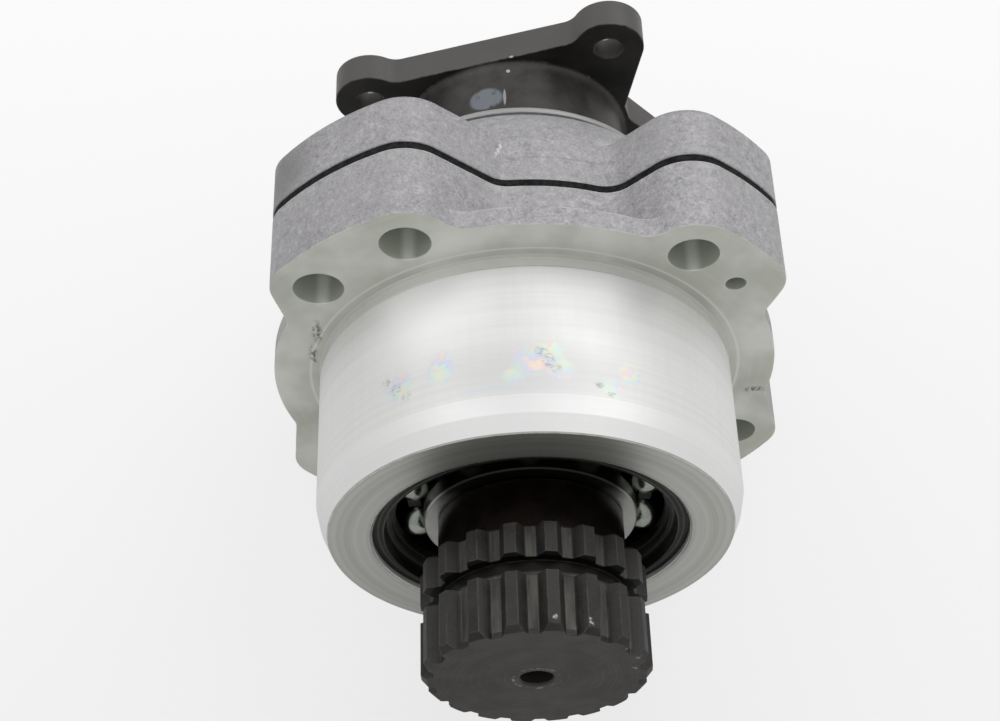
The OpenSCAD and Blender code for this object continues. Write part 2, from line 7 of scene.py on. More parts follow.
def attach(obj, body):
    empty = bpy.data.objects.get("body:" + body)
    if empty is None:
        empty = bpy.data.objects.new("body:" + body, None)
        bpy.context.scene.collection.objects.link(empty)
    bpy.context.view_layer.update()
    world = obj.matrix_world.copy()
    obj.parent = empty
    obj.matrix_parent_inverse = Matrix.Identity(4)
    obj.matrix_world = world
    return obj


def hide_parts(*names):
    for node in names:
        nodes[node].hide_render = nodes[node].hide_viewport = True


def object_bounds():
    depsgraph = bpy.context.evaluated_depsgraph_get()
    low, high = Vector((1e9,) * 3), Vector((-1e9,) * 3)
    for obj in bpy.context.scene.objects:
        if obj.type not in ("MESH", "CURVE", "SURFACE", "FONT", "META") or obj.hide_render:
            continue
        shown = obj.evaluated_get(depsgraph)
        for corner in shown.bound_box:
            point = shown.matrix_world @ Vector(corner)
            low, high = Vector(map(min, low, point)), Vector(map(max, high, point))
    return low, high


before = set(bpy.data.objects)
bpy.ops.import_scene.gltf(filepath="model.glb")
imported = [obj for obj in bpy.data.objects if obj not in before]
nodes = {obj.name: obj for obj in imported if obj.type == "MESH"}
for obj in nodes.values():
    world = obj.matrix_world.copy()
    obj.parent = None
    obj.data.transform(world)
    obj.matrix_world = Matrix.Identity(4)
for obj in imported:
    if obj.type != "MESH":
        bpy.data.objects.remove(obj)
cad_low, cad_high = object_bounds()

# Sizes of the part that the looks depend on, in metres; y runs along the shaft, to the rear
NOSE_R = 0.0575
NOSE_SIDE_R = NOSE_R + 0.0002
NOSE_LEN = 0.0518
RING_START = NOSE_LEN - 0.0004
NOSE_MOUTH_R = 0.0465
NOSE_FACE_R = 0.0500
TAPER_START = 0.0424
BOLT_ANGLES = (116.3, 141.0, 52.2, -27.7, -127.7)
BOLT_CIRCLE_R = 0.07025
BOLT_HOLE_R = 0.00675
SCREW_ANGLES = (37.5, -42.5, -142.5)
SCREW_CIRCLE_R = 0.0697
SCREW_HOLE_R = 0.0032
COVER_LIP_Y = 0.0605
COVER_MOUTH_R = 0.0415
COVER_GROOVE = (0.0586, 0.0604)
COVER_GROOVE_R = 0.0431
SHAFT_END_Y = -0.0920
FRONT_ROW_Y = -0.0905
SHAFT_GROOVE_FRONT = (-0.0748, -0.0738)
SHAFT_GROOVE_BACK_Y = -0.0708
SHAFT_MIDDLE_Y = -0.0700
COLLAR_Y = -0.0624
REAR_ROW_BACK_Y = -0.0622
SHAFT_GROOVE_R = 0.0276
CENTRE_HOLE_R = 0.0058
OUT_FRONT = 0.0882
FLOOR_Z = cad_low[2] - 0.0005

# Radii of the thin paler lines in the nose's mouth
OUTER_RING_LINES = (0.0371, 0.0383)
CIRCLIP_LINES = (0.0383, 0.0395, 0.0409)

# Soft limits: where each is 0 and where it is full
FOOT_FADE = (0.0034, 0.0016)
TURNED_IN = (0.0640, 0.0600)
TOOTH_GAP = (0.0274, 0.0267)
PAINTED_SHADE_Z = (0.010, 0.019)

# Thin lines and rims: where each starts, is full, is still full and ends
FACE_STEP = (0.0596, 0.0600, 0.0602, 0.0608)
CENTRE_RIM = (0.0056, 0.0059, 0.0062, 0.0066)
PARTING = (0.0316, 0.0320, 0.0323, 0.0328)
PARTING_R = 0.0600

# How far the limits stand off the faces they divide, and how finely edges are sampled
SLACK = 0.00005
BORE_EDGE = (0.0001, 0.0002)
WEAR_SAMPLES = 4
ROUND_SAMPLES = 6

# How fine the turning marks are, in waves a metre
TURNED_FINE = 2600.0
TURNED_BANDS = 520.0
GROUND_FINE = 3000.0
END_FINE = 1500.0

# The middle range of a noise
NOISE_LOW = 0.3
NOISE_HIGH = 0.7

# Colours of the cast skin and of the machined faces
CAST_DARK = (0.295, 0.287, 0.300)
CAST_PALE = (0.440, 0.430, 0.444)
CAST_WARM = (0.405, 0.395, 0.394)
CAST_SHADE = (0.260, 0.253, 0.262)
CAST_FLECK = (0.600, 0.590, 0.604)
CAST_PIT = (0.170, 0.166, 0.172)
NOSE_LOW = (0.740, 0.740, 0.730)
NOSE_HIGH = (0.790, 0.790, 0.780)
RING_LOW = (0.42, 0.42, 0.390)
RING_HIGH = (0.52, 0.52, 0.490)
FACE_LOW = (0.500, 0.510, 0.450)
FACE_HIGH = (0.700, 0.710, 0.660)

# Marks on the nose: angle from the top, distance from the flange, size, and how tall
SMUDGES = (
    (-35.7, 0.0330, 0.0062, 1.0), (-23.3, 0.0313, 0.0058, 1.3), (-0.4, 0.0326, 0.0068, 1.0),
    (4.1, 0.0303, 0.0058, 1.0), (6.9, 0.0349, 0.0052, 1.0), (20.0, 0.0392, 0.0046, 0.8),
    (25.2, 0.0341, 0.0046, 1.0), (-4.3, 0.0368, 0.0046, 0.8),
)
SCUFFS = (
    (-39.6, 0.0302, 0.0022, 0.9), (-36.4, 0.0334, 0.0024, 1.2), (-33.1, 0.0364, 0.0022, 0.9),
    (2.4, 0.0300, 0.0024, 1.0), (4.2, 0.0325, 0.0026, 1.2), (5.9, 0.0350, 0.0022, 0.9),
    (16.8, 0.0389, 0.0018, 0.8), (19.8, 0.0410, 0.0018, 0.8),
)
# Dings in the flange's face: x, y, z and the size along each axis
DINGS = (
    (-0.0566, 0.0, 0.024, (0.0020, 0.004, 0.0075)),
    (-0.0585, 0.0, 0.013, (0.0018, 0.004, 0.0065)),
    (0.0662, 0.0, -0.0096, (0.0050, 0.004, 0.0020)),
)
# Pale specks on the output flange, and painted glints inside two bolt holes: x, y, z and size
FLANGE_SPECKS_AND_GLINTS = (
    (-0.0014, 0.0882, 0.0360, 0.0011), (-0.0023, 0.0851, 0.0331, 0.0008),
    (0.0264, 0.0962, 0.0342, 0.0011), (0.0272, 0.0964, 0.0342, 0.0010),
    (-0.0442, 0.0957, 0.0134, 0.0009), (-0.0434, 0.0958, 0.0133, 0.0009),
)
# A pale scratch on the cover: angle from the top, distance behind the flange
SCRATCH = ((-5.9, 0.0352), (-6.5, 0.0335), (-7.1, 0.0320), (-7.5, 0.0306), (-7.9, 0.0293))
# Bright nicks on the shaft: x, y, z and size
NICKS = (
    (0.0040, -0.0890, 0.0294, 0.0008), (0.0044, -0.0886, 0.0294, 0.0006), (0.0129, -0.0893, 0.0268, 0.0007),
    (0.0129, -0.0883, 0.0268, 0.0007), (0.0133, -0.0897, 0.0266, 0.0006), (0.0223, -0.0916, 0.0163, 0.0011),
    (0.0252, -0.0912, 0.0112, 0.0014), (0.0246, -0.0921, 0.0050, 0.0010), (0.0208, -0.0905, 0.0195, 0.0009),
)

# Studio: soft white light, and a floor and backdrop that the camera sees near white
SKY_STRENGTH = 0.66
BACKDROP_STRENGTH = 0.93
WHITE = (1.0, 1.0, 1.0, 1.0)
FLOOR_COLOUR = (0.80, 0.80, 0.80, 1.0)
FLOOR_SHOWN = (0.20, 0.20, 0.20, 1.0)
FLOOR_SIZE = 6.0
# The floor's glow to the camera: from and to which y it fades, and its strength there
GLOW_FADE = (-0.22, 0.30)
GLOW_STRENGTH = (0.67, 0.78)
# Lights: name, place, size and power in watts; each looks at the origin
LIGHTS = (
    ("top_right", (0.46, 0.26, 0.80), 0.80, 3.2),
    ("top_left", (-0.50, 0.20, 0.75), 0.60, 1.5),
)
# The camera that took the photograph, solved from the turned edges
CAMERA_PLACE = (-0.014654, -0.285102, 0.439503)
CAMERA_RIGHT = (0.999637, -0.026953, 0.0)
CAMERA_UP = (0.022481, 0.833805, 0.551602)
CAMERA_LENS = 66.752
SENSOR_WIDTH = 36.0
CLIP_START = 0.01


class Shader:
    """A node material with short calls for the nodes that the looks use."""

    def __init__(self, name):
        self.material = bpy.data.materials.new(name)
        self.material.use_nodes = True
        self.tree = self.material.node_tree
        self.tree.nodes.clear()
        self.output = self.tree.nodes.new("ShaderNodeOutputMaterial")
        self.surface = self.tree.nodes.new("ShaderNodeBsdfPrincipled")
        self.tree.links.new(self.surface.outputs[0], self.output.inputs[0])
        coordinates = self.tree.nodes.new("ShaderNodeTexCoord")
        self.position = coordinates.outputs["Object"]
        parts = self.tree.nodes.new("ShaderNodeSeparateXYZ")
        self.tree.links.new(self.position, parts.inputs[0])
        self.x = parts.outputs[0]
        self.y = parts.outputs[1]
        self.z = parts.outputs[2]
        flat = self.vector(self.x, 0.0, self.z)
        length = self.tree.nodes.new("ShaderNodeVectorMath")
        length.operation = "LENGTH"
        self.tree.links.new(flat, length.inputs[0])
        self.radius = length.outputs["Value"]

    def feed(self, value, socket):
        """Links a node's output to the socket, or sets the socket to a plain value."""
        if isinstance(value, bpy.types.NodeSocket):
            self.tree.links.new(value, socket)
        else:
            socket.default_value = value

    def math(self, operation, first, second=0.0, third=0.0):
        """One sum or comparison of up to three values; third counts for MULTIPLY_ADD alone."""
        node = self.tree.nodes.new("ShaderNodeMath")
        node.operation = operation
        self.feed(first, node.inputs[0])
        self.feed(second, node.inputs[1])
        if operation == "MULTIPLY_ADD":
            self.feed(third, node.inputs[2])
        return node.outputs[0]

    def vector(self, x, y, z):
        node = self.tree.nodes.new("ShaderNodeCombineXYZ")
        self.feed(x, node.inputs[0])
        self.feed(y, node.inputs[1])
        self.feed(z, node.inputs[2])
        return node.outputs[0]

    def scaled(self, source, scale):
        """A vector times one factor for each axis."""
        node = self.tree.nodes.new("ShaderNodeVectorMath")
        node.operation = "MULTIPLY"
        self.tree.links.new(source, node.inputs[0])
        node.inputs[1].default_value = scale
        return node.outputs[0]

    def noise(self, scale, detail=2.0, roughness=0.5, where=None, distortion=0.0):
        """A noise at that many waves a metre, or in the coordinates of where."""
        node = self.tree.nodes.new("ShaderNodeTexNoise")
        self.tree.links.new(where or self.position, node.inputs["Vector"])
        node.inputs["Scale"].default_value = scale
        node.inputs["Detail"].default_value = detail
        node.inputs["Roughness"].default_value = roughness
        node.inputs["Distortion"].default_value = distortion
        return node.outputs["Fac"]

    def span(self, value, low, high, to_low=0.0, to_high=1.0):
        """Stretches low to high over to_low to to_high, with soft ends."""
        node = self.tree.nodes.new("ShaderNodeMapRange")
        node.interpolation_type = "SMOOTHSTEP"
        self.feed(value, node.inputs["Value"])
        node.inputs["From Min"].default_value = low
        node.inputs["From Max"].default_value = high
        node.inputs["To Min"].default_value = to_low
        node.inputs["To Max"].default_value = to_high
        return node.outputs["Result"]

    def spread(self, noise, to_low=0.0, to_high=1.0):
        """The middle range of a noise, stretched out."""
        return self.span(noise, NOISE_LOW, NOISE_HIGH, to_low, to_high)

    def between(self, value, low, high):
        """1 where the value lies between the two limits, 0 elsewhere."""
        above = self.math("GREATER_THAN", value, low)
        below = self.math("LESS_THAN", value, high)
        return self.math("MULTIPLY", above, below)

    def line(self, value, start, full, still_full, end):
        """1 from full to still_full, with soft ends down to 0 at start and end."""
        rising = self.span(value, start, full)
        falling = self.span(value, end, still_full)
        return self.math("MULTIPLY", rising, falling)

    def mix(self, factor, first, second):
        """A colour between the first (0) and the second (1)."""
        node = self.tree.nodes.new("ShaderNodeMix")
        node.data_type = "RGBA"
        self.feed(factor, node.inputs["Factor"])
        for value, socket in ((first, node.inputs[6]), (second, node.inputs[7])):
            self.feed(value if isinstance(value, bpy.types.NodeSocket) else (*value, 1.0), socket)
        return node.outputs[2]

    def over(self, colour, mask, amount, second):
        """The colour, with the second one laid over it where the mask is, up to that amount."""
        return self.mix(self.math("MULTIPLY", mask, amount), colour, second)

    def blend(self, factor, first, second):
        """A value between the first (0) and the second (1)."""
        node = self.tree.nodes.new("ShaderNodeMix")
        node.data_type = "FLOAT"
        self.feed(factor, node.inputs["Factor"])
        self.feed(first, node.inputs[2])
        self.feed(second, node.inputs[3])
        return node.outputs[0]

    def colour_by(self, value, stops):
        """A colour that runs through the stops as the value rises."""
        node = self.tree.nodes.new("ShaderNodeValToRGB")
        self.tree.links.new(value, node.inputs[0])
        ramp = node.color_ramp
        while len(ramp.elements) < len(stops):
            ramp.elements.new(0.5)
        for element, (place, colour) in zip(ramp.elements, stops):
            element.position = place
            element.color = (*colour, 1.0)
        return node.outputs[0]

    def edge(self, radius, low, high):
        """1 at sharp edges within that radius, 0 on open faces."""
        bevel = self.tree.nodes.new("ShaderNodeBevel")
        bevel.samples = WEAR_SAMPLES
        bevel.inputs["Radius"].default_value = radius
        shape = self.tree.nodes.new("ShaderNodeNewGeometry")
        dot = self.tree.nodes.new("ShaderNodeVectorMath")
        dot.operation = "DOT_PRODUCT"
        self.tree.links.new(bevel.outputs[0], dot.inputs[0])
        self.tree.links.new(shape.outputs["Normal"], dot.inputs[1])
        return self.span(dot.outputs["Value"], high, low)

    def bump(self, height, strength, distance, round_edge=0.0):
        """Raises the surface by a height; edges can be shaded as if rounded by that radius."""
        node = self.tree.nodes.new("ShaderNodeBump")
        self.feed(height, node.inputs["Height"])
        node.inputs["Strength"].default_value = strength
        node.inputs["Distance"].default_value = distance
        if round_edge:
            bevel = self.tree.nodes.new("ShaderNodeBevel")
            bevel.samples = ROUND_SAMPLES
            bevel.inputs["Radius"].default_value = round_edge
            self.tree.links.new(bevel.outputs[0], node.inputs["Normal"])
        self.tree.links.new(node.outputs[0], self.surface.inputs["Normal"])

    def turned(self, amount):
        """Stretches the highlights round the shaft, as on a turned face."""
        node = self.tree.nodes.new("ShaderNodeTangent")
        node.direction_type = "RADIAL"
        node.axis = "Y"
        self.tree.links.new(node.outputs[0], self.surface.inputs["Tangent"])
        self.feed(amount, self.surface.inputs["Anisotropic"])

    def near(self, x, z, low, high):
        """1 within low of a line along the shaft through x and z, 0 past high."""
        across = self.math("SUBTRACT", self.x, x)
        up = self.math("SUBTRACT", self.z, z)
        flat = self.vector(across, 0.0, up)
        node = self.tree.nodes.new("ShaderNodeVectorMath")
        node.operation = "LENGTH"
        self.tree.links.new(flat, node.inputs[0])
        return self.span(node.outputs["Value"], high, low)

    def spot(self, x, y, z, size):
        """1 at a point, falling to 0 at that size away from it along each axis."""
        node = self.tree.nodes.new("ShaderNodeVectorMath")
        node.operation = "SUBTRACT"
        self.tree.links.new(self.position, node.inputs[0])
        node.inputs[1].default_value = (x, y, z)
        squeezed = self.scaled(node.outputs[0], tuple(1.0 / reach for reach in size))
        length = self.tree.nodes.new("ShaderNodeVectorMath")
        length.operation = "LENGTH"
        self.tree.links.new(squeezed, length.inputs[0])
        return self.span(length.outputs["Value"], 1.0, 0.2)

    def highest(self, values):
        """The largest of the values at each point."""
        total = values[0]
        for value in values[1:]:
            total = self.math("MAXIMUM", total, value)
        return total

    def set(self, **values):
        """Fills in the surface and returns the finished material."""
        names = {
            "colour": "Base Color", "metal": "Metallic", "rough": "Roughness",
            "specular": "Specular IOR Level",
        }
        for key, value in values.items():
            if key == "colour" and not isinstance(value, bpy.types.NodeSocket):
                value = (*value, 1.0)
            self.feed(value, self.surface.inputs[names[key]])
        return self.material


def on_nose(angle, forward, radius=NOSE_R):
    """The point on a turned face at that angle from the top, that far in front of the flange."""
    turn = math.radians(angle)
    return (radius * math.sin(turn), -forward, radius * math.cos(turn))


def on_circle(radius, angle):
    """The x and z of a point on a circle round the shaft, at that angle from +x."""
    turn = math.radians(angle)
    return radius * math.cos(turn), radius * math.sin(turn)


def marks(look, places):
    """1 at the marks on the nose, each an oval that is so many times as tall as wide."""
    return look.highest([
        look.spot(*on_nose(angle, forward), (size, size * tall, size))
        for angle, forward, size, tall in places
    ])


def dots(look, places):
    """1 at small round spots, each given by x, y, z and size."""
    return look.highest([look.spot(x, y, z, (size, size, size)) for x, y, z, size in places])


def on_nose_side(look):
    """1 on the nose's turned side, 0 elsewhere."""
    return look.between(look.radius, NOSE_FACE_R, NOSE_SIDE_R)


def rings_round_shaft(look, fineness):
    """Fine turning marks: a noise that only changes along the shaft and outward."""
    along = look.math("MULTIPLY", look.y, fineness)
    outward = look.math("MULTIPLY", look.radius, fineness)
    return look.noise(1.0, detail=2.0, roughness=0.6, where=look.vector(along, outward, 0.0))


def bolt_bores(look):
    """1 in the bolt and screw holes, 0 elsewhere."""
    holes = [(BOLT_CIRCLE_R, angle, BOLT_HOLE_R) for angle in BOLT_ANGLES]
    holes += [(SCREW_CIRCLE_R, angle, SCREW_HOLE_R) for angle in SCREW_ANGLES]
    return look.highest([
        look.near(*on_circle(circle_r, angle), hole_r + BORE_EDGE[0], hole_r + BORE_EDGE[1])
        for circle_r, angle, hole_r in holes
    ])


def painted_bore_light(look):
    """Painted light: pale stripes along the lower walls of the bolt bores, where light through the open
    ends falls.
    """
    aside = 0.0006
    middle_y = 0.008
    size = (0.0026, 0.03, 0.0035)
    stripes = []
    for angle in BOLT_ANGLES:
        x, z = on_circle(BOLT_CIRCLE_R, angle)
        stripes.append(look.spot(x + aside, middle_y, z - BOLT_HOLE_R, size))
    return look.highest(stripes)


def cast_skin(look):
    """Even sand-cast speckle with darker pits, pale flecks and faint blotches."""
    grain = look.noise(1400.0, detail=4.0, roughness=0.7)
    blotch = look.noise(70.0, detail=4.0, roughness=0.6, distortion=0.4)
    wide = look.noise(24.0, detail=2.0, roughness=0.5)
    mottle = look.noise(430.0, detail=4.0, roughness=0.7)
    stretched = look.scaled(look.position, (1.0, 0.7, 1.0))
    flecks = look.noise(760.0, detail=3.0, roughness=0.7, where=stretched)
    colour = look.mix(look.span(grain, 0.34, 0.66), CAST_DARK, CAST_PALE)
    colour = look.over(colour, look.span(mottle, 0.52, 0.66), 0.42, CAST_FLECK)
    colour = look.over(colour, look.span(mottle, 0.46, 0.34), 0.42, CAST_PIT)
    colour = look.over(colour, look.span(blotch, 0.35, 0.65), 0.30, CAST_WARM)
    colour = look.over(colour, look.span(wide, 0.40, 0.62), 0.18, CAST_SHADE)
    colour = look.over(colour, look.span(flecks, 0.60, 0.74), 0.55, CAST_FLECK)
    colour = look.over(colour, look.span(flecks, 0.38, 0.28), 0.55, CAST_PIT)
    height = look.math("MULTIPLY_ADD", grain, 0.8, look.math("MULTIPLY", blotch, 0.7))
    return colour, height, grain


def worn_edges(look, colour, radius, low, high, amount, pale):
    """Edges rubbed bright, broken here and there."""
    edge = look.edge(radius, low, high)
    gaps = look.span(look.noise(240.0, detail=3.0, roughness=0.6), 0.34, 0.60)
    broken = look.math("MULTIPLY", edge, gaps)
    return look.over(colour, broken, amount, pale)


def nose_marks(look, colour):
    """Faint rainbow smudges and dark scuffs that handling left on the nose."""
    patchy = look.noise(300.0, detail=4.0, roughness=0.65)
    hue = look.noise(150.0, detail=3.0, roughness=0.6)
    smudges = marks(look, SMUDGES)
    film = look.math("MULTIPLY", look.span(smudges, 0.0, 1.0), look.span(patchy, 0.25, 0.65))
    film_colour = look.colour_by(hue, [
        (0.34, (0.86, 0.62, 0.78)), (0.42, (0.86, 0.84, 0.52)), (0.49, (0.60, 0.84, 0.76)),
        (0.56, (0.62, 0.66, 0.90)), (0.66, (0.90, 0.72, 0.60)),
    ])
    colour = look.over(colour, film, 0.80, film_colour)
    scuffs = marks(look, SCUFFS)
    squeezed = look.scaled(look.position, (1.0, 2.0, 1.0))
    torn = look.noise(900.0, detail=4.0, roughness=0.75, where=squeezed)
    dark = look.math("MULTIPLY", look.span(scuffs, 0.0, 0.9), look.span(torn, 0.44, 0.62))
    return look.over(colour, dark, 0.55, (0.22, 0.20, 0.17))


def housing_look():
    """Cast aluminium, machined where the tools ran: the nose, its flange face and the bores."""
    look = Shader("cast_housing")
    forward = look.math("MULTIPLY", look.y, -1.0)
    front = look.math("GREATER_THAN", forward, -SLACK)
    inside = look.math("LESS_THAN", look.radius, NOSE_MOUTH_R)
    bores = bolt_bores(look)
    machined = look.highest([front, inside, bores])
    on_face = look.math("MULTIPLY", look.math("GREATER_THAN", look.radius, NOSE_SIDE_R), front)
    cast_colour, cast_height, grain = cast_skin(look)
    cloud = look.noise(34.0, detail=3.0, roughness=0.55)
    rings = rings_round_shaft(look, TURNED_FINE)
    bands = rings_round_shaft(look, TURNED_BANDS)
    # The nose: pale, finely turned
    nose_colour = look.mix(look.spread(bands), NOSE_LOW, NOSE_HIGH)
    stretched = look.scaled(look.position, (420.0, 26.0, 420.0))
    brushed = look.noise(1.0, detail=3.0, roughness=0.6, where=stretched)
    nose_colour = look.over(nose_colour, look.span(brushed, 0.42, 0.68), 0.16, (0.66, 0.66, 0.66))
    # Painted light on the nose: a painted highlight at the upper left, painted shade in the middle and
    # painted shade at the right
    painted_highlight_left = look.spot(*on_nose(-30.0, 0.012), (0.026, 0.022, 0.026))
    nose_colour = look.over(nose_colour, painted_highlight_left, 0.9, (0.97, 0.97, 0.965))
    painted_shade_middle = look.spot(*on_nose(0.0, 0.036), (0.034, 0.014, 0.030))
    nose_colour = look.over(nose_colour, painted_shade_middle, 0.75, (0.62, 0.62, 0.62))
    shade = look.spot(*on_nose(22.0, 0.006), (0.022, 0.022, 0.02))
    nose_colour = look.over(nose_colour, shade, 0.45, (0.56, 0.56, 0.57))
    # A painted highlight on the tapered tip, and a painted bluish reflection line just behind it
    painted_taper_highlight = look.math("GREATER_THAN", forward, TAPER_START)
    nose_colour = look.over(nose_colour, painted_taper_highlight, 0.5, (0.84, 0.84, 0.84))
    painted_reflection_line = look.spot(*on_nose(-11.0, TAPER_START - 0.0024), (0.010, 0.0008, 0.010))
    nose_colour = look.over(nose_colour, painted_reflection_line, 0.45, (0.56, 0.66, 0.76))
    nose_colour = nose_marks(look, nose_colour)
    # Painted shade in the band at the nose's foot, where the tool ran out
    painted_foot_shade = look.math("MULTIPLY", look.span(forward, *FOOT_FADE), on_nose_side(look))
    nose_colour = look.over(nose_colour, painted_foot_shade, 0.45, (0.62, 0.62, 0.56))
    # The turned front ring, duller than the nose
    ring = look.math("GREATER_THAN", forward, RING_START)
    ring_colour = look.mix(look.spread(bands), RING_LOW, RING_HIGH)
    colour = look.mix(ring, nose_colour, ring_colour)
    # The flange's face
    face_colour = look.mix(look.span(cloud, 0.35, 0.66), FACE_LOW, FACE_HIGH)
    face_colour = look.over(face_colour, look.span(bands, 0.45, 0.7), 0.20, (0.66, 0.67, 0.62))
    turned_in = look.span(look.radius, *TURNED_IN)
    face_colour = look.over(face_colour, turned_in, 0.20, (0.52, 0.53, 0.45))
    # A painted highlight: the pale line on the flange's face next to the nose
    step = look.line(look.radius, *FACE_STEP)
    face_colour = look.over(face_colour, step, 0.6, (0.82, 0.82, 0.78))
    dings = look.highest([look.spot(*ding) for ding in DINGS])
    stretched = look.scaled(look.position, (1.0, 1.0, 0.5))
    scratch = look.noise(760.0, detail=4.0, roughness=0.7, where=stretched)
    dings = look.math("MULTIPLY", dings, look.span(scratch, 0.46, 0.54))
    face_colour = look.over(face_colour, dings, 0.8, (0.10, 0.09, 0.08))
    colour = look.mix(on_face, colour, face_colour)
    # The bolt bores, with painted light along their lower walls
    bore_colour = look.mix(painted_bore_light(look), (0.54, 0.57, 0.50), (0.90, 0.93, 0.88))
    colour = look.mix(bores, colour, bore_colour)
    colour = look.mix(machined, cast_colour, colour)
    colour = worn_edges(look, colour, radius=0.00055, low=0.94, high=0.996, amount=0.60,
                        pale=(0.88, 0.88, 0.86))
    rough = look.spread(cloud, 0.46, 0.54)
    rough = look.blend(ring, rough, 0.38)
    rough = look.blend(on_face, rough, 0.50)
    height = look.blend(machined, cast_height, look.math("MULTIPLY", rings, 0.10))
    look.bump(height, strength=0.30, distance=0.0003, round_edge=0.0005)
    look.turned(look.math("MULTIPLY", ring, 0.4))
    metal = look.blend(machined, 0.30, 0.42)
    metal = look.blend(bores, look.blend(ring, metal, 0.92), 0.35)
    return look.set(colour=colour, metal=metal, specular=look.blend(bores, 0.5, 0.3),
                    rough=look.blend(machined, look.spread(grain, 0.52, 0.68), rough))


def cover_look():
    """The cover's cast skin, its turned lip and groove, and the bores."""
    look = Shader("cast_cover")
    behind = look.math("GREATER_THAN", look.y, COVER_LIP_Y)
    inside = look.math("LESS_THAN", look.radius, COVER_MOUTH_R)
    bores = bolt_bores(look)
    machined = look.highest([behind, inside, bores])
    colour, cast_height, grain = cast_skin(look)
    rings = rings_round_shaft(look, TURNED_FINE)
    # A painted shade patch, the parting line, a pale scratch and a rubbed patch
    painted_shade_spot = look.spot(-0.062, 0.031, 0.050, (0.016, 0.016, 0.018))
    colour = look.over(colour, painted_shade_spot, 0.60, (0.16, 0.157, 0.156))
    parting = look.line(look.y, *PARTING)
    parting = look.math("MULTIPLY", parting, look.math("LESS_THAN", look.radius, PARTING_R))
    parting = look.math("MULTIPLY", parting, look.math("GREATER_THAN", look.x, 0.0))
    colour = look.over(colour, parting, 0.25, CAST_PIT)
    cover_r = 0.0583
    size = (0.0006, 0.0013, 0.003)
    scratch = look.highest([look.spot(*on_nose(angle, -y, cover_r), size) for angle, y in SCRATCH])
    colour = look.over(colour, look.span(scratch, 0.1, 0.4), 0.50, (0.84, 0.83, 0.84))
    patch = look.spot(*on_nose(25.0, -0.0405, 0.0565), (0.0055, 0.0040, 0.005))
    colour = look.over(colour, patch, 0.30, (0.70, 0.69, 0.71))
    # Painted shade: the turned groove under the lip is painted near black
    groove = look.between(look.y, *COVER_GROOVE)
    groove = look.math("MULTIPLY", groove, look.math("LESS_THAN", look.radius, COVER_GROOVE_R))
    colour = look.mix(machined, colour, (0.36, 0.36, 0.355))
    colour = look.mix(bores, colour, (0.62, 0.65, 0.58))
    colour = look.mix(groove, colour, (0.05, 0.05, 0.05))
    colour = worn_edges(look, colour, radius=0.0006, low=0.94, high=0.996, amount=0.35,
                        pale=(0.74, 0.73, 0.74))
    height = look.blend(machined, cast_height, look.math("MULTIPLY", rings, 0.10))
    look.bump(height, strength=0.30, distance=0.0003, round_edge=0.0016)
    return look.set(colour=colour, metal=look.blend(machined, 0.30, 0.45),
                    rough=look.blend(machined, look.spread(grain, 0.52, 0.68), 0.45))


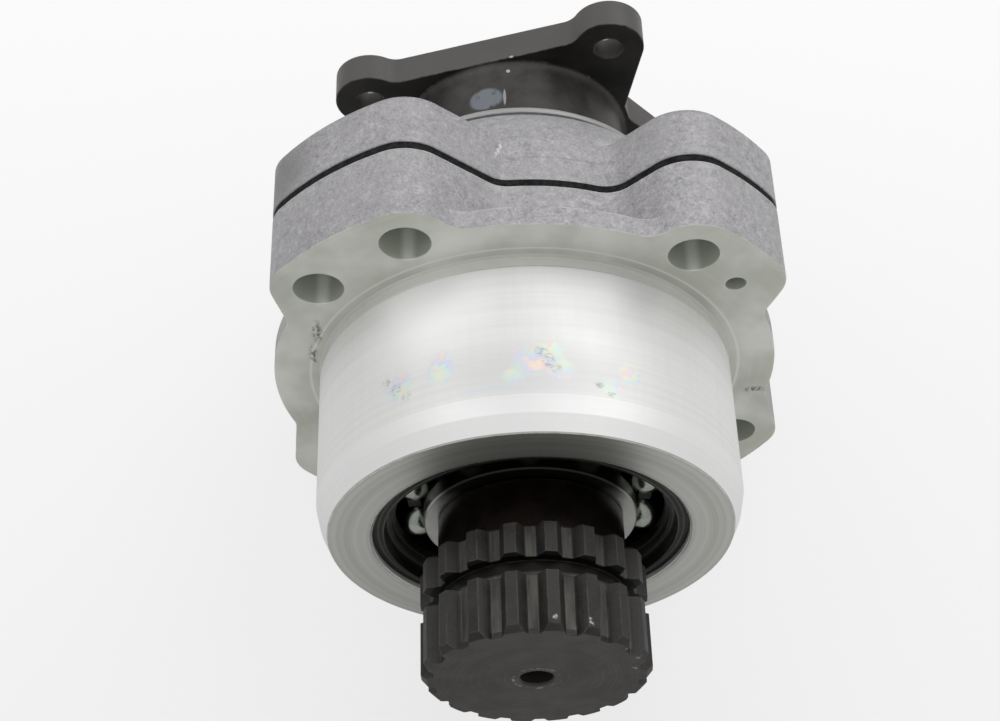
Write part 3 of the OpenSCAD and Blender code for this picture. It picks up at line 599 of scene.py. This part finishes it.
def dark_steel():
    """The splined shaft: dark heat-treated steel, a little paler in its gaps and on its edges."""
    look = Shader("dark_steel")
    cloud = look.noise(150.0, detail=4.0, roughness=0.6)
    grain = look.noise(1700.0, detail=3.0, roughness=0.65)
    base = look.mix(look.spread(cloud), (0.024, 0.0225, 0.022), (0.040, 0.038, 0.037))
    base = look.over(base, look.span(grain, 0.50, 0.75), 0.35, (0.075, 0.072, 0.068))
    front_end = look.math("LESS_THAN", look.y, FRONT_ROW_Y)
    in_teeth = look.math("MULTIPLY", look.math("LESS_THAN", look.y, REAR_ROW_BACK_Y),
                         look.math("SUBTRACT", 1.0, front_end))
    gap = look.math("MULTIPLY", look.span(look.radius, *TOOTH_GAP), in_teeth)
    stretched = look.scaled(look.position, (420.0, 60.0, 420.0))
    streak = look.noise(1.0, detail=3.0, roughness=0.6, where=stretched)
    gap_colour = look.mix(look.span(streak, 0.35, 0.65), (0.040, 0.039, 0.036), (0.078, 0.077, 0.070))
    colour = look.mix(gap, base, gap_colour)
    # Painted shade: black in the groove behind the front row, and on the collar
    groove = look.span(look.y, *SHAFT_GROOVE_FRONT)
    groove = look.math("MULTIPLY", groove, look.math("LESS_THAN", look.y, SHAFT_GROOVE_BACK_Y))
    groove = look.math("MULTIPLY", groove, look.math("LESS_THAN", look.radius, SHAFT_GROOVE_R))
    colour = look.mix(groove, colour, (0.006, 0.005, 0.004))
    collar = look.math("GREATER_THAN", look.y, COLLAR_Y)
    collar_shade_colour = look.mix(look.spread(cloud), (0.006, 0.004, 0.003), (0.014, 0.010, 0.008))
    colour = look.mix(collar, colour, collar_shade_colour)
    # The end face: brownish, turned
    rings = rings_round_shaft(look, END_FINE)
    end_colour = look.mix(look.spread(cloud), (0.031, 0.026, 0.023), (0.044, 0.038, 0.034))
    end_colour = look.over(end_colour, look.span(rings, 0.45, 0.7), 0.30, (0.070, 0.062, 0.056))
    on_end = look.math("LESS_THAN", look.y, SHAFT_END_Y)
    colour = look.mix(on_end, colour, end_colour)
    at_front = look.math("LESS_THAN", look.y, SHAFT_MIDDLE_Y)
    centre = look.math("MULTIPLY", look.math("LESS_THAN", look.radius, CENTRE_HOLE_R), at_front)
    colour = look.mix(centre, colour, (0.040, 0.036, 0.030))
    rim = look.line(look.radius, *CENTRE_RIM)
    rim = look.math("MULTIPLY", rim, at_front)
    dashes = look.span(look.noise(520.0, detail=3.0, roughness=0.65), 0.50, 0.62)
    rim = look.math("MULTIPLY", rim, dashes)
    colour = look.over(colour, rim, 0.55, (0.42, 0.36, 0.33))
    colour = worn_edges(look, colour, radius=0.0006, low=0.90, high=0.99, amount=0.35,
                        pale=(0.16, 0.155, 0.145))
    # Small bright nicks on the front row and at the lower right of the end face
    nicks = dots(look, NICKS)
    chipped = look.span(look.noise(1300.0, detail=3.0, roughness=0.7), 0.42, 0.55)
    nicks = look.math("MULTIPLY", nicks, chipped)
    colour = look.over(colour, nicks, 0.8, (0.50, 0.48, 0.46))
    height = look.math("MULTIPLY_ADD", grain, 0.5, cloud)
    look.bump(height, strength=0.25, distance=0.00015, round_edge=0.0004)
    look.turned(0.2)
    rough = look.blend(collar, look.spread(cloud, 0.40, 0.55), 0.30)
    return look.set(colour=colour, metal=0.55, rough=rough, specular=0.30)


def black_steel():
    """The output flange: black phosphated steel with rubbed edges and a few bare spots."""
    look = Shader("black_steel")
    cloud = look.noise(120.0, detail=4.0, roughness=0.6)
    grain = look.noise(1900.0, detail=3.0, roughness=0.65)
    base = look.mix(look.spread(cloud), (0.042, 0.040, 0.038), (0.072, 0.069, 0.065))
    base = look.over(base, look.span(grain, 0.5, 0.75), 0.5, (0.085, 0.08, 0.075))
    # Painted light and shade: the outer sides are painted greyer than the drum, as lit from above, and the
    # front face darker, as in shadow
    face_start = OUT_FRONT - 0.0004
    face_end = OUT_FRONT + 0.0003
    outer = look.math("GREATER_THAN", look.y, face_end)
    base = look.over(base, outer, 0.75, (0.125, 0.118, 0.113))
    painted_shade_front_face = look.between(look.y, face_start, face_end)
    base = look.over(base, painted_shade_front_face, 0.6, (0.016, 0.015, 0.014))
    colour = worn_edges(look, base, radius=0.0007, low=0.88, high=0.985, amount=0.55,
                        pale=(0.30, 0.29, 0.275))
    patch = look.spot(*on_nose(-15.9, -0.0755, 0.0332), (0.0066, 0.0050, 0.005))
    worn = look.span(look.noise(300.0, detail=3.0, roughness=0.6), 0.25, 0.45)
    patch = look.math("MULTIPLY", look.span(patch, 0.05, 0.35), worn)
    colour = look.over(colour, patch, 0.85, (0.20, 0.22, 0.25))
    rim = look.spot(*on_nose(-6.2, -0.0752, 0.0332), (0.0006, 0.0042, 0.002))
    colour = look.over(colour, look.span(rim, 0.1, 0.6), 0.7, (0.42, 0.43, 0.44))
    # Pale specks, and painted glints on the lower walls of two bolt holes
    specks_and_glints = dots(look, FLANGE_SPECKS_AND_GLINTS)
    colour = look.over(colour, look.span(specks_and_glints, 0.1, 0.5), 0.8, (0.55, 0.55, 0.53))
    height = look.math("MULTIPLY_ADD", grain, 0.6, cloud)
    look.bump(height, strength=0.25, distance=0.00015, round_edge=0.0006)
    return look.set(colour=colour, metal=0.5, rough=look.spread(cloud, 0.42, 0.56), specular=0.35)


def plain_steel(name, low, high, rough):
    """Ground or plated steel, with its edges rubbed paler."""
    look = Shader(name)
    cloud = look.noise(150.0, detail=3.0, roughness=0.6)
    rings = rings_round_shaft(look, GROUND_FINE)
    colour = look.mix(look.spread(cloud), low, high)
    edge = look.edge(radius=0.0004, low=0.90, high=0.99)
    brighter = 1.6
    lift = 0.05
    rubbed = tuple(min(1.0, channel * brighter + lift) for channel in high)
    colour = look.over(colour, edge, 0.4, rubbed)
    look.bump(rings, strength=0.12, distance=0.00008)
    look.turned(0.4)
    return look.set(colour=colour, metal=0.9, rough=look.spread(cloud, rough, rough + 0.1))


def mouth_steel(name, line_radii):
    """Black steel in the nose's mouth, with thin paler lines round the shaft; on the bearing's outer ring
    the black is painted shade.
    """
    look = Shader(name)
    cloud = look.noise(170.0, detail=3.0, roughness=0.6)
    rings = rings_round_shaft(look, GROUND_FINE)
    colour = look.mix(look.spread(cloud), (0.004, 0.004, 0.003), (0.010, 0.010, 0.008))
    line_half = 0.0001
    line_fade = 0.0003
    for place in line_radii:
        line = look.line(look.radius, place - line_fade, place - line_half,
                         place + line_half, place + line_fade)
        colour = look.over(colour, line, 0.65, (0.085, 0.085, 0.068))
    look.bump(rings, strength=0.10, distance=0.00006)
    return look.set(colour=colour, metal=0.3, rough=look.spread(cloud, 0.36, 0.48), specular=0.16)


def inner_ring_look():
    """Ground steel, with painted shade making it near black at the top, where the nose's mouth shades it.
    """
    look = Shader("inner_ring_steel")
    cloud = look.noise(170.0, detail=3.0, roughness=0.6)
    rings = rings_round_shaft(look, GROUND_FINE)
    colour = look.mix(look.spread(cloud), (0.34, 0.345, 0.325), (0.42, 0.425, 0.40))
    # Painted shade over the top of the ring
    painted_shade_top = look.span(look.z, *PAINTED_SHADE_Z)
    colour = look.over(colour, painted_shade_top, 0.97, (0.010, 0.009, 0.007))
    look.bump(rings, strength=0.10, distance=0.00006)
    look.turned(0.3)
    return look.set(colour=colour, metal=0.9, rough=look.spread(cloud, 0.28, 0.38), specular=0.3)


def ball_steel():
    """Bright balls, darkened as the mouth shades them."""
    look = Shader("ball_steel")
    cloud = look.noise(300.0, detail=2.0)
    colour = look.mix(look.spread(cloud), (0.26, 0.285, 0.25), (0.33, 0.355, 0.315))
    look.bump(cloud, strength=0.02, distance=0.00005)
    return look.set(colour=colour, metal=1.0, rough=0.20)


def rubber():
    """Matte black gaskets and seals."""
    look = Shader("gasket")
    cloud = look.noise(700.0, detail=4.0, roughness=0.65)
    colour = look.mix(look.spread(cloud), (0.004, 0.004, 0.004), (0.022, 0.022, 0.022))
    look.bump(cloud, strength=0.3, distance=0.0002)
    return look.set(colour=colour, metal=0.0, rough=0.75, specular=0.12)


def cage_plastic():
    """Black plastic of the bearings' cages."""
    look = Shader("cage")
    cloud = look.noise(350.0, detail=3.0)
    colour = look.mix(cloud, (0.006, 0.006, 0.004), (0.016, 0.015, 0.012))
    look.bump(cloud, strength=0.2, distance=0.0001)
    return look.set(colour=colour, metal=0.1, rough=look.spread(cloud, 0.35, 0.5), specular=0.25)


looks = {
    "housing": housing_look(),
    "cover": cover_look(),
    "shaft": dark_steel(),
    "flange": black_steel(),
    # The front bearing's outer ring is painted black as shade in the nose's mouth
    "outer": mouth_steel("outer_ring_steel", OUTER_RING_LINES),
    "inner": inner_ring_look(),
    "ring": plain_steel("bearing_steel", (0.42, 0.42, 0.40), (0.54, 0.54, 0.52), rough=0.28),
    "circlip": mouth_steel("circlip_steel", CIRCLIP_LINES),
    "zinc": plain_steel("zinc_steel", (0.40, 0.40, 0.38), (0.55, 0.55, 0.53), rough=0.36),
    "ball": ball_steel(),
    "rubber": rubber(),
    "cage": cage_plastic(),
}
wears = {
    "front_housing": "housing",
    "cover_gasket": "rubber",
    "rear_cover": "cover",
    "input_shaft": "shaft",
    "front_bearing_outer_ring": "outer",
    "front_bearing_inner_ring": "inner",
    "front_bearing_balls": "ball",
    "front_bearing_cage": "cage",
    "front_circlip": "circlip",
    "spacer_sleeve": "ring",
    "rear_bearing_outer_ring": "ring",
    "rear_bearing_inner_ring": "ring",
    "rear_bearing_balls": "ball",
    "rear_bearing_cage": "cage",
    "seal_case": "rubber",
    "seal_lip": "rubber",
    "seal_spring": "zinc",
    "output_flange": "flange",
    "hub_o_ring": "rubber",
    "flange_washer": "zinc",
    "flange_nut": "zinc",
    "cover_screws": "zinc",
    "screw_washers": "zinc",
}
for node_name, look_name in wears.items():
    piece = nodes[node_name]
    piece.data.materials.clear()
    piece.data.materials.append(looks[look_name])


def crown_cage():
    """The front bearing's cage: a ring behind the balls, with prongs between them."""
    centre_y = -0.0373
    pitch_r = 0.0325
    ball_r = 0.00635
    pocket_gap = 0.00025
    pocket_r = ball_r + pocket_gap
    balls = 10
    phase = math.radians(-17.0)
    inner_r = 0.0297
    outer_r = 0.0331
    ring_depth = 0.0073
    back_y = centre_y + ring_depth
    prong = 0.0016
    steps = 1440
    corners = 4
    full_turn = 2.0 * math.pi
    places = []
    for step in range(steps):
        turn = full_turn * step / steps
        nearest = round((turn - phase) * balls / full_turn) * full_turn / balls + phase
        across = pitch_r * (turn - nearest)
        room = pocket_r * pocket_r - across * across
        front_y = centre_y - prong
        if room > 0.0:
            front_y = max(centre_y + math.sqrt(room), front_y)
        for radius, y in ((inner_r, back_y), (outer_r, back_y), (outer_r, front_y), (inner_r, front_y)):
            places.append((radius * math.cos(turn), y, radius * math.sin(turn)))
    faces = []
    for step in range(steps):
        here = corners * step
        after = corners * ((step + 1) % steps)
        for side in range(corners):
            following = (side + 1) % corners
            faces.append((here + side, here + following, after + following, after + side))
    mesh = bpy.data.meshes.new("crown_cage")
    mesh.from_pydata(places, [], faces)
    mesh.validate()
    cage = bpy.data.objects.new("crown_cage", mesh)
    bpy.context.scene.collection.objects.link(cage)
    mesh.materials.append(looks["cage"])
    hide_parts("front_bearing_cage")
    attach(cage, "front_cage")


crown_cage()


def white_world():
    """Soft white light from all round; the camera itself sees a paler backdrop."""
    world = bpy.data.worlds.new("studio")
    bpy.context.scene.world = world
    world.use_nodes = True
    tree = world.node_tree
    sky = tree.nodes["Background"]
    sky.inputs["Color"].default_value = WHITE
    sky.inputs["Strength"].default_value = SKY_STRENGTH
    backdrop = tree.nodes.new("ShaderNodeBackground")
    backdrop.inputs["Color"].default_value = WHITE
    backdrop.inputs["Strength"].default_value = BACKDROP_STRENGTH
    path = tree.nodes.new("ShaderNodeLightPath")
    chosen = tree.nodes.new("ShaderNodeMixShader")
    tree.links.new(path.outputs["Is Camera Ray"], chosen.inputs[0])
    tree.links.new(sky.outputs[0], chosen.inputs[1])
    tree.links.new(backdrop.outputs[0], chosen.inputs[2])
    tree.links.new(chosen.outputs[0], tree.nodes["World Output"].inputs["Surface"])


def floor_look():
    """A plain pale floor; the camera sees it near white, a little greyer toward the front."""
    material = bpy.data.materials.new("floor")
    material.use_nodes = True
    tree = material.node_tree
    tree.nodes.clear()
    output = tree.nodes.new("ShaderNodeOutputMaterial")
    plain = tree.nodes.new("ShaderNodeBsdfDiffuse")
    plain.inputs["Color"].default_value = FLOOR_COLOUR
    shown = tree.nodes.new("ShaderNodeBsdfDiffuse")
    shown.inputs["Color"].default_value = FLOOR_SHOWN
    glow = tree.nodes.new("ShaderNodeEmission")
    coordinates = tree.nodes.new("ShaderNodeTexCoord")
    parts = tree.nodes.new("ShaderNodeSeparateXYZ")
    fade = tree.nodes.new("ShaderNodeMapRange")
    fade.inputs["From Min"].default_value = GLOW_FADE[0]
    fade.inputs["From Max"].default_value = GLOW_FADE[1]
    fade.inputs["To Min"].default_value = GLOW_STRENGTH[0]
    fade.inputs["To Max"].default_value = GLOW_STRENGTH[1]
    both = tree.nodes.new("ShaderNodeAddShader")
    path = tree.nodes.new("ShaderNodeLightPath")
    chosen = tree.nodes.new("ShaderNodeMixShader")
    tree.links.new(coordinates.outputs["Object"], parts.inputs[0])
    tree.links.new(parts.outputs[1], fade.inputs["Value"])
    tree.links.new(fade.outputs["Result"], glow.inputs["Strength"])
    tree.links.new(shown.outputs[0], both.inputs[0])
    tree.links.new(glow.outputs[0], both.inputs[1])
    tree.links.new(path.outputs["Is Camera Ray"], chosen.inputs[0])
    tree.links.new(plain.outputs[0], chosen.inputs[1])
    tree.links.new(both.outputs[0], chosen.inputs[2])
    tree.links.new(chosen.outputs[0], output.inputs[0])
    return material


def area_light(name, place, size, power):
    """A soft square light that looks at the origin."""
    data = bpy.data.lights.new(name, "AREA")
    data.energy = power
    data.shape = "SQUARE"
    data.size = size
    light = bpy.data.objects.new(name, data)
    bpy.context.scene.collection.objects.link(light)
    light.location = place
    direction = -Vector(place)
    light.rotation_euler = direction.to_track_quat("-Z", "Y").to_euler()


def photo_camera():
    """Puts the camera where the photograph was taken from."""
    data = bpy.data.cameras.new("camera")
    data.sensor_fit = "HORIZONTAL"
    data.sensor_width = SENSOR_WIDTH
    data.lens = CAMERA_LENS
    data.clip_start = CLIP_START
    camera = bpy.data.objects.new("camera", data)
    bpy.context.scene.collection.objects.link(camera)
    right = Vector(CAMERA_RIGHT)
    up = Vector(CAMERA_UP)
    turn = Matrix((right, up, right.cross(up))).transposed()
    camera.matrix_world = Matrix.Translation(CAMERA_PLACE) @ turn.to_4x4()
    bpy.context.scene.camera = camera


white_world()
bpy.ops.mesh.primitive_plane_add(size=FLOOR_SIZE, location=(0.0, 0.0, FLOOR_Z))
floor = bpy.context.object
floor.name = "floor"
floor.data.materials.append(floor_look())
for light_name, light_place, light_size, light_power in LIGHTS:
    area_light(light_name, light_place, light_size, light_power)
photo_camera()
bpy.context.scene.view_settings.view_transform = "Standard"
